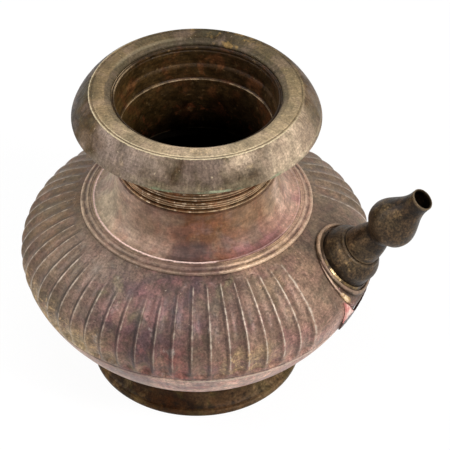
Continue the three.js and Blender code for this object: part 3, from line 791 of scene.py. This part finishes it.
def patina(name, base, wear_and_sheen_tint, dirt, hues, blotches=(), grain=0.4, metallic=0.2, rough=(0.36, 0.56), mottle=0.2,
           middle_share=0.18, wear_share=1.0, dirt_share=0.85, wear_and_sheen_where=None, lines=(), specular=0.3, painted_flank_shade=0.0,
           streaks=(), painted_shade=None):
    """Aged metal: a base tone with blotches, mottling, streaks and grain, then worn edges and dirty grooves, with
    painted shade on flute flanks and, where a mask is given, on inner faces; the wear tint also paints highlights on
    some edges and lines.

    A blotch is (scale, noise from, noise to, tint, share, masks), a streak (factor round the pot, factor along
    its outline, scale, share) and a line (radius, width, share, masks).
    """
    look = Look(name)
    color = base(look)
    broad = look.noise(42, 6.0, 0.6, 0.6)
    color = look.scaled(color, look.remap(broad, 0.32, 0.68, 1 - mottle, 1 + mottle))
    hue = look.noise(90, 5.0, 0.55, 0.8, offset=11.0)
    color = look.mix(look.remap(hue, 0.5, 0.64, 0.0, hues[2]), color, srgb(*hues[0]))
    color = look.mix(look.remap(hue, 0.5, 0.36, 0.0, hues[2]), color, srgb(*hues[1]))
    for i, (scale, low, high, tint, share, *masks) in enumerate(blotches):
        spot = look.remap(look.noise(scale, 5.0, 0.6, 0.3, offset=scale + i), low, high, 0.0, share)
        color = look.mix(look.times(spot, *(mask(look) for mask in masks)), color, srgb(*tint))
    middle = look.noise(240, 6.0, 0.65, 0.6, offset=2.0)
    color = look.varied(color, middle, middle_share)
    fine = look.noise(900, 4.0, 0.7, offset=5.0)
    color = look.varied(color, fine, grain)
    for i, (around, run, scale, share) in enumerate(streaks):
        streak = look.noise(scale, 4.0, 0.65, at=look.along(around, run), offset=20.0 + i)
        color = look.varied(color, streak, share)
    # Painted shade on the flutes' lee flanks.
    if painted_flank_shade:
        color = look.scaled(color, look.remap(look.attribute("painted_flank_shade"), 0.1, 1.0, 1.0, 1 - painted_flank_shade))
    ragged = look.spread(look.noise(260, 4.0, 0.6, offset=9.0), -0.35, 0.25)
    edge = look.math("ADD", look.attribute("edge"), ragged)
    # Edge wear in the wear tint. On some pieces it also stands for painted highlights on edges that catch the light.
    wear_and_sheen = look.remap(edge, 0.15, 0.9, 0.0, wear_share)
    if wear_and_sheen_where:
        wear_and_sheen = look.times(wear_and_sheen, wear_and_sheen_where(look))
    color = look.mix(look.remap(edge, -0.1, -0.7, 0.0, dirt_share), color, srgb(*dirt))
    bright = look.scaled(srgb(*wear_and_sheen_tint)[:3], look.spread(fine, 0.75, 1.2))
    color = look.mix(wear_and_sheen, color, bright)
    for radius, width, share, *masks in lines:
        line = look.times(look.ring(radius, width), share, *(mask(look) for mask in masks))
        color = look.mix(line, color, bright)
    gloss = specular
    # Painted shade: where a mask is given, it darkens the colour and the gloss.
    if painted_shade:
        lit = painted_shade(look)
        color = look.scaled(color, lit)
        gloss = look.times(lit, specular)
    pits = look.remap(fine, 0.28, 0.42)
    return look.finish(((broad, 0.8), (middle, 0.3), (pits, 0.08)), {
        "Base Color": color, "Roughness": look.spread(middle, *rough), "Metallic": metallic,
        "Specular IOR Level": gloss})


def rim_material():
    def base(look):
        # Tones round the collar: partly the patina's own colour, partly painted light and shade, with the top dark at
        # the back and the flange dark at the left and lighter at the front-left and front-right.
        top = look.around(
            (0, 138, 119, 88), (90, 38, 28, 13), (180, 140, 118, 86), (225, 156, 136, 106), (270, 184, 163, 135),
            (315, 166, 145, 114))
        flange = look.around(
            (0, 78, 54, 20), (90, 68, 52, 26), (180, 34, 19, 4), (206, 82, 62, 34), (226, 150, 132, 117),
            (255, 69, 52, 34), (285, 88, 72, 54), (315, 192, 169, 143), ragged=18)
        color = look.mix(look.radius(50.8, 51.6), top, flange)
        # Painted shade on the lip's inner roll, except at the front.
        roll = look.times(look.radius(44.4, 43.4), look.flip(look.facing(270, 45, 80)))
        return look.mix(look.times(roll, 0.75), color, srgb(74, 64, 50))
    return patina(
        "rim_patina", base, (222, 204, 168), (50, 40, 26), ((152, 128, 110), (92, 86, 62), 0.3), grain=0.35,
        wear_share=0.0, dirt_share=0.5, metallic=0.12, specular=0.12, mottle=0.24,
        blotches=(
            (30, 0.52, 0.64, (142, 122, 112), 0.4, side(258, 40, 65), lambda look: look.radius(50, 52)),
            (44, 0.55, 0.66, (78, 68, 46), 0.6),
            (60, 0.57, 0.67, (190, 164, 124), 0.5, side(300, 50, 80)),
            (150, 0.54, 0.64, (158, 126, 74), 0.6, side(68, 12, 28)),
            (70, 0.38, 0.54, (72, 60, 42), 0.35, level(158, 154), side(264, 10, 26)),
            (300, 0.4, 0.5, (176, 188, 154), 0.65, level(152.6, 152.0, 0.2), side(281, 3, 7, 2.0)),
            (80, 0.34, 0.52, (132, 118, 94), 0.5, level(155.5, 153.5), side(258, 30, 50)),
            (120, 0.42, 0.6, (118, 128, 100), 0.8, level(152.6, 151.2), side(285, 30, 50)),
            (700, 0.64, 0.7, (216, 196, 160), 0.5)),
        streaks=((1.0, 0.12, 900, 0.18), (0.12, 1.0, 700, 0.1)),
        lines=(
            (51.3, 0.5, 0.85, level(163.4, 163.8, 0.05), side(235, 75, 120)),
            (49.6, 0.4, 0.55, side(262, 40, 70)),
            # Painted highlight: a soft pale band on the lip's roll at the back-left.
            (44.0, 2.0, 0.16, side(128, 12, 30)),
            # Painted highlight along the flange's lower edge on the right.
            (COLLAR_R - 0.7, 0.4, 0.25, side(345, 12, 30))))


def neck_material():
    def base(look):
        outside = look.around(
            (0, 136, 106, 74), (90, 96, 72, 46), (180, 130, 98, 68), (262, 108, 72, 42), (310, 138, 108, 78))
        # Inside tones, darker than outside: partly the inside's own patina, partly painted shade inside the mouth;
        # the ledge at the neck's top is darkened more as painted shade under the lip.
        inside = look.around((0, 54, 36, 18), (90, 54, 37, 17), (180, 78, 57, 27), (270, 44, 28, 12))
        painted_brim_shade = look.scaled(inside, 0.6)
        inside = look.mix(look.height(NECK_TOP_Z - 0.6, NECK_TOP_Z - 0.2, 0.05), inside, painted_brim_shade)
        return look.mix(look.most(look.inward(), look.height(155, 156)), outside, inside)

    def wear_and_sheen(look):
        lines = look.most(look.times(look.height(133, 131), 0.6), look.between(144.1, 144.5))
        top = look.times(look.height(NECK_TOP_Z - 0.8, NECK_TOP_Z - 0.3, 0.05), look.facing(165, 6, 20))
        return look.most(lines, look.times(top, 0.5))
    return patina(
        "neck_patina", base, (232, 200, 158), (30, 18, 9), ((112, 66, 38), (60, 46, 26), 0.4), wear_share=0.75,
        dirt_share=0.4, mottle=0.3, middle_share=0.35, specular=0.2,
        blotches=(
            (200, 0.56, 0.66, (150, 80, 50), 0.5, level(136, 132)),
            # Painted highlight: cream glints on ridge edges at the front-left.
            (360, 0.52, 0.58, (255, 230, 196), 1.0, level(134, 131), side(258, 16, 34),
             lambda look: look.remap(look.attribute("edge"), 0.1, 0.5)),
            (320, 0.58, 0.68, (116, 92, 60), 0.5)),
        streaks=((0.1, 1.0, 700, 0.35),), wear_and_sheen_where=wear_and_sheen,
        # Painted shade: the neck's inner faces darken towards its lower end.
        painted_shade=lambda look: look.most(look.flip(look.inward()), look.height(112, 150, 3)))


def shoulder_material():
    def base(look):
        low = look.around(
            (0, 220, 184, 160), (60, 160, 132, 116), (180, 188, 172, 144), (210, 186, 164, 140), (240, 168, 138, 120),
            (263, 112, 78, 62), (285, 124, 80, 61), (305, 130, 94, 84), (335, 198, 155, 137))
        high = look.around(
            (0, 168, 140, 114), (90, 150, 122, 100), (180, 180, 162, 136), (220, 164, 134, 114), (263, 102, 63, 38),
            (290, 130, 88, 57), (330, 156, 126, 100))
        return look.mix(look.height(101, 112, 2.5, 60.0), low, high)
    return patina(
        "shoulder_patina", base, (255, 222, 210), (82, 58, 48), ((160, 108, 88), (134, 116, 94), 0.35),
        metallic=0.15, rough=(0.42, 0.6), grain=0.24, mottle=0.15, middle_share=0.2, dirt_share=0.2,
        blotches=(
            (38, 0.52, 0.66, (160, 130, 126), 0.45),
            (110, 0.5, 0.64, (140, 86, 60), 0.45, side(272, 12, 30)),
            (80, 0.52, 0.64, (88, 62, 52), 0.6, side(266, 16, 32)),
            (90, 0.42, 0.58, (176, 116, 120), 0.38, level(103.6, 101.8), side(304, 20, 34)),
            (70, 0.44, 0.58, (186, 116, 122), 0.45, level(105, 102.5), side(355, 12, 24)),
            (60, 0.36, 0.5, (66, 50, 52), 0.7, level(108, 104.5), side(264, 8, 16, 4.0)),
            # Painted highlight: a cream patch on the shoulder's right side.
            (48, 0.4, 0.52, (240, 208, 184), 0.6, level(103.5, 105), side(352, 12, 26))),
        streaks=((0.15, 1.0, 420, 0.24), (1.0, 0.15, 260, 0.1)), wear_share=0.0,
        lines=(
            (SHOULDER_R - 0.5, 0.8, 1.0, side(216, 64, 67, 1.5)),
            (SHOULDER_R - 0.5, 0.65, 0.3)),
        # Painted shade: the shoulder's inner faces are darkened nearly to black.
        painted_shade=lambda look: look.remap(look.inward(), 0.0, 1.0, 1.0, 0.02))


def band_material():
    def base(look):
        return look.around(
            (0, 186, 150, 128), (90, 128, 104, 90), (180, 146, 125, 104), (225, 138, 114, 98), (270, 116, 88, 80),
            (295, 160, 128, 108), (315, 182, 147, 123), (340, 196, 160, 137))
    return patina(
        "band_patina", base, (232, 200, 168), (66, 48, 40), ((152, 106, 98), (120, 104, 82), 0.35), wear_share=0.7,
        dirt_share=0.65, grain=0.3, streaks=((0.1, 1.0, 900, 0.25),),
        # Painted highlight: pale peach glints on the band at the front-right.
        blotches=((90, 0.46, 0.58, (214, 178, 142), 0.6, side(306, 16, 30)),),
        wear_and_sheen_where=lambda look: look.most(look.flip(look.facing(242, 30, 50)), 0.2))


def body_material():
    def base(look):
        high = look.around(
            (0, 128, 106, 86), (60, 120, 98, 78), (120, 102, 82, 62), (180, 98, 76, 54), (225, 119, 100, 87),
            (256, 88, 68, 60), (275, 100, 76, 66), (295, 133, 106, 90), (312, 136, 108, 89), (335, 104, 83, 69))
        low = look.around(
            (0, 134, 108, 95), (60, 124, 102, 87), (180, 134, 110, 90), (225, 192, 168, 132), (250, 140, 104, 88),
            (268, 138, 97, 84), (290, 150, 119, 98), (315, 174, 140, 126), (340, 142, 115, 103))
        belly = look.around((0, 190, 156, 138), (180, 176, 146, 128), (270, 204, 166, 147))
        skin = look.mix(look.height(62, 76, 4, 50.0), low, high)
        return look.mix(look.height(55.6, 57.0, 0.5, 150.0), belly, skin)

    def low_gold(look):
        sides = look.most(look.facing(217, 14, 26, 4.0), look.facing(287, 6, 10, 2.0))
        return look.times(look.height(78, 68, 3.0), look.height(58.5, 60.5, 0.5), sides)

    def high_gold(look):
        return look.times(look.height(88, 94, 3.0), look.facing(307, 10, 20, 4.0))
    return patina(
        "body_patina", base, (212, 194, 174), (60, 45, 38), ((138, 102, 90), (108, 100, 78), 0.28), wear_share=0.8,
        # Painted shade on each flute's lee flank, at the strength below.
        grain=0.42, painted_flank_shade=0.6, middle_share=0.3,
        blotches=(
            (48, 0.46, 0.6, (80, 58, 64), 0.65, side(256, 12, 32)),
            (60, 0.56, 0.69, (122, 110, 82), 0.6),
            (90, 0.5, 0.62, (144, 86, 78), 0.6, level(80, 70), side(268, 14, 30)),
            (110, 0.58, 0.68, (166, 156, 146), 0.5, side(252, 16, 34)),
            (70, 0.48, 0.62, (146, 100, 98), 0.45, side(270, 28, 48)),
            (70, 0.44, 0.58, (164, 118, 110), 0.55, level(80, 72), side(312, 8, 20)),
            (90, 0.4, 0.56, (160, 134, 98), 0.65, low_gold),
            (420, 0.54, 0.63, (216, 180, 132), 0.7, low_gold),
            (90, 0.46, 0.6, (160, 132, 104), 0.35, high_gold),
            (420, 0.6, 0.67, (222, 180, 140), 0.6, high_gold),
            (700, 0.66, 0.71, (214, 194, 172), 0.5)),
        streaks=((1.0, 0.12, 420, 0.2),),
        # Crest wear is made strongest on the sides toward the lamps, as painted highlight on top of the wear.
        wear_and_sheen_where=lambda look: look.most(look.times(look.facing(185, 30, 50), 0.8), look.remap(
            look.facing(335, 40, 75), 0.0, 1.0, 0.5, 1.0)),
        # Painted shade: the body's inner faces are darkened nearly to black.
        painted_shade=lambda look: look.remap(look.attribute("inside"), 0.0, 1.0, 1.0, 0.02))


def foot_material():
    def base(look):
        return look.around(
            (0, 124, 98, 64), (90, 80, 62, 38), (180, 68, 48, 28), (225, 60, 41, 21), (270, 56, 31, 12),
            (315, 112, 90, 64))
    return patina(
        "foot_patina", base, (120, 96, 62), (20, 13, 7), ((84, 58, 34), (80, 70, 38), 0.5), wear_share=0.1,
        mottle=0.4, specular=0.1, middle_share=0.3,
        blotches=(
            (120, 0.5, 0.6, (120, 94, 58), 0.5, side(215, 20, 35)),
            (90, 0.55, 0.66, (30, 20, 11), 0.7),
            (160, 0.54, 0.64, (136, 112, 78), 0.4,
             lambda look: look.most(look.facing(215, 12, 25), look.facing(310, 12, 25)))),
        streaks=((0.2, 1.0, 300, 0.25),))


def plate_material():
    def gold(look):
        inner_half = look.times(look.from_spout(16.5, 16.8), look.from_spout(17.7, 17.3))
        on_bead = look.times(look.near((63, -16, 87), (5, 5, 6), 0.2, 300), inner_half)
        on_edge = look.times(look.near((69.5, -18, 76.5), (5, 5, 6), 0.25, 300), look.from_spout(19.6, 20.0))
        return look.most(on_bead, look.times(on_edge, 0.8))

    def base(look):
        plate = look.mix(look.noise(60, 4.0), srgb(88, 66, 53), srgb(114, 90, 74))
        color = look.mix(look.from_spout(18.2, 19.4), srgb(78, 60, 44), plate)
        color = look.mix(look.near((50, 0, 96), (11, 17, 8), 0.2, 200), color, srgb(176, 142, 112))
        return look.mix(gold(look), color, srgb(206, 166, 112))
    return patina(
        "plate_patina", base, (244, 206, 176), (36, 25, 18), ((136, 92, 80), (92, 82, 62), 0.4), wear_share=0.8,
        specular=0.2,
        blotches=(
            (90, 0.54, 0.66, (78, 58, 48), 0.6, lambda look: look.flip(gold(look))),
            # Painted highlight: cream glints on the gold of the bead and plate edge.
            (420, 0.52, 0.6, (250, 226, 184), 0.9, gold),
            (260, 0.58, 0.64, (206, 150, 150), 0.7, lambda look: look.from_spout(18.6, 19.2))),
        wear_and_sheen_where=lambda look: look.remap(look.from_spout(18.6, 19.2), 0.0, 1.0, 0.3, 0.6))


def spout_material():
    def base(look):
        dark = look.mix(look.noise(60, 4.0), srgb(52, 38, 25), srgb(88, 71, 50))
        # Painted sheen: the stem is lightened.
        stem = look.times(look.near((70, 0, 106), (12, 14, 10), 0.3, 60), 0.6)
        tip = look.near((93, 0, 131), (16, 16, 16), 0.2, 60)
        dark = look.mix(stem, dark, srgb(98, 76, 54))
        return look.mix(look.times(tip, 0.9), dark, srgb(24, 16, 9))
    return patina(
        "spout_patina", base, (150, 126, 94), (18, 12, 7), ((92, 70, 48), (50, 42, 28), 0.5), wear_share=0.35,
        rough=(0.34, 0.52), mottle=0.3, specular=0.22, middle_share=0.44, grain=0.75,
        blotches=(
            (90, 0.54, 0.66, (36, 26, 18), 0.7),
            (130, 0.56, 0.67, (118, 96, 66), 0.5),
            (240, 0.58, 0.66, (156, 126, 86), 0.7, lambda look: look.near((66, -6, 92), (16, 16, 16)))),
        # Painted shade inside the nozzle's bore.
        painted_shade=lambda look: look.remap(look.from_spout(4.9, 5.3), 0.0, 1.0, 0.2, 1.0))


def braze_material():
    def base(look):
        share = look.near((63, -15.5, 87), (5, 5, 5.5), 0.25, 250)
        spots = look.times(look.remap(look.noise(300, 4.0), 0.54, 0.6), look.near((72, -8, 78), (8, 9, 8), 0.2, 250))
        return look.mix(look.most(share, spots), srgb(58, 43, 30), srgb(214, 182, 132))
    return patina("braze_patina", base, (220, 188, 130), (50, 36, 24), ((196, 160, 100), (110, 84, 54), 0.3),
                  metallic=0.5, rough=(0.25, 0.4), wear_share=0.0)


def bare_material():
    def bare(look):
        return look.math("ADD", look.attribute("bare"), look.shift(0.25, 220, 4.0))

    def base(look):
        # Dark tone outside the bare area: tarnish, and painted shadow along the sheet's right edge.
        return look.mix(look.remap(bare(look), 0.35, 0.65), srgb(56, 38, 30), srgb(214, 124, 116))
    return patina(
        "bare_copper", base, (240, 166, 156), (120, 62, 52), ((176, 112, 98), (120, 84, 74), 0.15), metallic=0.3,
        rough=(0.25, 0.4), grain=0.25, wear_share=0.6,
        # Painted highlight: cream-white glints on the bare copper.
        blotches=((150, 0.48, 0.56, (255, 230, 212), 0.9, lambda look: look.remap(bare(look), 0.7, 1.0)),),
        wear_and_sheen_where=lambda look: look.remap(bare(look), 0.35, 0.65))


def floor_material():
    """White paper: the camera and shiny metal see it as white, with the object's soft shadow."""
    look = Look("floor_paper")
    look.shader.inputs["Base Color"].default_value = (0.9, 0.9, 0.9, 1)
    look.shader.inputs["Roughness"].default_value = 0.9
    white = look.node("Emission", {"Strength": 1.04})["Emission"]
    share = look.times(seen_directly(look), 0.9)
    paper = look.node("MixShader", {"Fac": share, 1: look.shader.outputs["BSDF"], 2: white})["Shader"]
    look.put(look.tree.nodes["Material Output"].inputs["Surface"], paper)
    return look.material


def seen_directly(nodes):
    """1 for what the camera sees, also by way of shiny or clear surfaces, and 0 for the light on the object."""
    path = nodes.node("LightPath")
    return nodes.most(nodes.most(path["Is Camera Ray"], path["Is Glossy Ray"]), path["Is Transmission Ray"])


def add_lamp(name, angle, elevation, distance, size, power):
    """A soft lamp that faces the pot."""
    way = way_round(angle, elevation)
    lamp = bpy.data.lights.new(name, "AREA")
    lamp.shape = "RECTANGLE"
    lamp.size, lamp.size_y = size
    lamp.energy = power
    holder = bpy.data.objects.new(name, lamp)
    place = Matrix.Translation(Vector((POT_X * MM, 0, 0.08)) + way * distance)
    holder.matrix_world = place @ way.to_track_quat("Z", "Y").to_matrix().to_4x4()
    bpy.context.collection.objects.link(holder)


def add_studio():
    floor = new_object("floor", [(-4, -4, 0), (4, -4, 0), (4, 4, 0), (-4, 4, 0)], [(0, 1, 2, 3)])
    floor.data.materials.append(floor_material())
    world = bpy.data.worlds.new("studio")
    bpy.context.scene.world = world
    world.use_nodes = True
    nodes = Nodes(world.node_tree)
    back = nodes.tree.nodes["Background"].inputs
    level_seen = {"Value": seen_directly(nodes), "To Min": 0.14, "To Max": 1.0}
    nodes.put(back["Color"], (1, 1, 1, 1))
    nodes.put(back["Strength"], nodes.node("MapRange", level_seen)["Result"])
    add_lamp("lamp_right", 318, 42, 1.2, (0.35, 0.35), 10)
    add_lamp("lamp_left", 178, 38, 1.2, (0.5, 0.5), 6)
    add_lamp("lamp_top", 260, 76, 1.3, (0.6, 0.6), 4)
    bpy.context.scene.view_settings.view_transform = "Standard"


def main():
    add_camera()
    looks = {"rim": rim_material(), "neck": neck_material(), "shoulder": shoulder_material(),
             "band": band_material(), "body": body_material(), "foot": foot_material(), "plate": plate_material(),
             "bare": bare_material(), "braze": braze_material(), "spout": spout_material()}
    for piece, node, slot in (
            (rim(), "rim_collar", "rim"),
            (neck(), "neck_sleeve", "neck"),
            (wire_ring("neck_wire_upper", "neck_ring_upper"), "neck_ring_upper", "neck"),
            (wire_ring("neck_wire_lower", "neck_ring_lower"), "neck_ring_lower", "neck"),
            (shoulder(), "shoulder", "shoulder"),
            (band(), "shoulder_band", "band"),
            (upper_body(), "upper_body", "body"),
            (lower_bowl(), "lower_bowl", "body"),
            (foot(), "foot_ring", "foot"),
            (spout_plate(), "spout_plate", "plate"),
            (patch(), "copper_patch", "bare"),
            (spout_bead(), "spout_bead", "plate"),
            (spout_braze(), "spout_braze", "braze"),
            (spout_bell(), "spout_bell", "spout"),
            (spout_stem(), "spout_stem", "spout"),
            (spout_nozzle(), "spout_nozzle", "spout")):
        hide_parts(node)
        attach(piece, "root")
        piece.data.materials.append(looks[slot])
    add_studio()


main()
